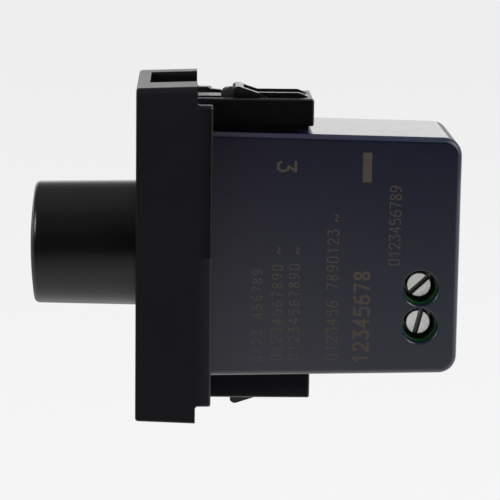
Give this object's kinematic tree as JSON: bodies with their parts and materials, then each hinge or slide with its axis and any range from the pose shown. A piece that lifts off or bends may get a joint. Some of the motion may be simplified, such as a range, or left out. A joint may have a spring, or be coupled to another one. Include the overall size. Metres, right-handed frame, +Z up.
{
  "type": "dimmer switch module",
  "caption": "Snap-in rotary dimmer module: black flange with push-and-turn knob, toothed spring latches, deep rear housing and clamp terminals behind screwdriver holes.",
  "frame": {"origin": "centre of the support-frame interface: on the knob's axis, in the plane of the flange's rear face", "axes": "+Z up along the module's height, -Y out of the wall along the knob, +Y into the wall box, +X towards the side with the screwdriver holes"},
  "size_m": [0.0226, 0.0571, 0.045],
  "materials": {
    "bezel": "satin black moulded plastic",
    "knob": "satin black moulded plastic",
    "housing": "smooth blue-black moulded plastic",
    "latch": "satin black moulded plastic",
    "inner_plate": "black moulded plastic",
    "shaft": "turned",
    "bush": "turned",
    "washer": "zinc plated",
    "nut": "zinc plated",
    "control_case": "moulded",
    "track": "laminate with a carbon track",
    "contact_metal": "tinned brass strip",
    "rotor": "natural moulded plastic",
    "switch_case": "moulded",
    "spring": "drawn wire",
    "board": "solder-masked laminate",
    "capacitor": "boxed, yellow",
    "small_capacitor": "boxed, red",
    "resistor": "lacquered",
    "diac": "moulded",
    "heat_sink": "mill finish",
    "zinc_screw": "zinc plated",
    "triac": "moulded package",
    "insulator": "insulating paper",
    "ferrite": "sintered core",
    "copper": "enamelled copper wire",
    "fuse_glass": "clear tube",
    "fuse_metal": "nickel plated",
    "terminal_green": "dark green moulded plastic",
    "terminal_screw": "zinc plated",
    "clamp": "plated"
  },
  "bodies": {
    "base": {"front_bezel": "bezel", "rear_housing": "housing", "inner_plate": "inner_plate", "mounting_bush": "bush", "lock_washer": "washer", "panel_nut": "nut", "control_case": "control_case", "track_disc": "track", "track_pins": "contact_metal", "switch_case": "switch_case", "fixed_contacts": "contact_metal", "return_spring": "spring", "circuit_board": "board", "film_capacitor": "capacitor", "timing_capacitor": "small_capacitor", "resistors": "resistor", "diac": "diac", "heat_sink": "heat_sink", "heat_sink_screw": "zinc_screw", "triac": "triac", "insulating_sheet": "insulator", "choke_core": "ferrite", "choke_winding": "copper", "fuse_tube": "fuse_glass", "fuse_caps": "fuse_metal", "fuse_clips": "contact_metal", "terminal_block": "terminal_green", "terminal_leads": "contact_metal"},
    "push_carriage": {"switch_plunger": "rotor", "contact_bridge": "contact_metal"},
    "knob_and_shaft": {"knob": "knob", "control_shaft": "shaft"},
    "wiper": {"wiper_rotor": "rotor", "wiper_contact": "contact_metal"},
    "upper_latch": {"upper_latch": "latch"},
    "lower_latch": {"lower_latch": "latch"},
    "terminal_screw_1": {"terminal_screw_1": "terminal_screw"},
    "terminal_screw_2": {"terminal_screw_2": "terminal_screw"},
    "wire_clamp_1": {"wire_clamp_1": "clamp"},
    "wire_clamp_2": {"wire_clamp_2": "clamp"}
  },
  "joints": [
    {"name": "knob_push", "type": "slide", "parent": "base", "child": "push_carriage", "axis": [0, 1, 0], "range_m": [0, 0.0012], "stiffness_N_per_m": 1500, "springref_m": -0.0006, "deforming": ["return_spring"]},
    {"name": "knob_turn", "type": "hinge", "parent": "push_carriage", "child": "knob_and_shaft", "pos_m": [0, -0.006, 0], "axis": [0, -1, 0], "range_deg": [-150, 150]},
    {"name": "wiper_turn", "type": "hinge", "parent": "base", "child": "wiper", "pos_m": [0, -0.0017, 0], "axis": [0, -1, 0], "range_deg": [-150, 150]},
    {"name": "upper_latch_flex", "type": "hinge", "parent": "base", "child": "upper_latch", "pos_m": [0, 0.01387, 0.0202], "axis": [1, 0, 0], "range_deg": [0, 11], "stiffness_Nm_per_rad": 0.05},
    {"name": "lower_latch_flex", "type": "hinge", "parent": "base", "child": "lower_latch", "pos_m": [0, 0.01387, -0.0202], "axis": [-1, 0, 0], "range_deg": [0, 11], "stiffness_Nm_per_rad": 0.05},
    {"name": "wire_clamp_1_rise", "type": "slide", "parent": "base", "child": "wire_clamp_1", "axis": [1, 0, 0], "range_m": [0, 0.0017]},
    {"name": "terminal_screw_1_turn", "type": "hinge", "parent": "base", "child": "terminal_screw_1", "pos_m": [0.004, 0.02975, -0.00425], "axis": [-1, 0, 0], "range_deg": [0, 1224]},
    {"name": "wire_clamp_2_rise", "type": "slide", "parent": "base", "child": "wire_clamp_2", "axis": [1, 0, 0], "range_m": [0, 0.0017]},
    {"name": "terminal_screw_2_turn", "type": "hinge", "parent": "base", "child": "terminal_screw_2", "pos_m": [0.004, 0.02975, -0.00933], "axis": [-1, 0, 0], "range_deg": [0, 1224]}
  ],
  "couplings": [
    {"joint": "wiper_turn", "follows": "knob_turn", "ratio": 1},
    {"joint": "terminal_screw_1_turn", "follows": "wire_clamp_1_rise", "rad_per_m": 12566},
    {"joint": "terminal_screw_2_turn", "follows": "wire_clamp_2_rise", "rad_per_m": 12566}
  ]
}
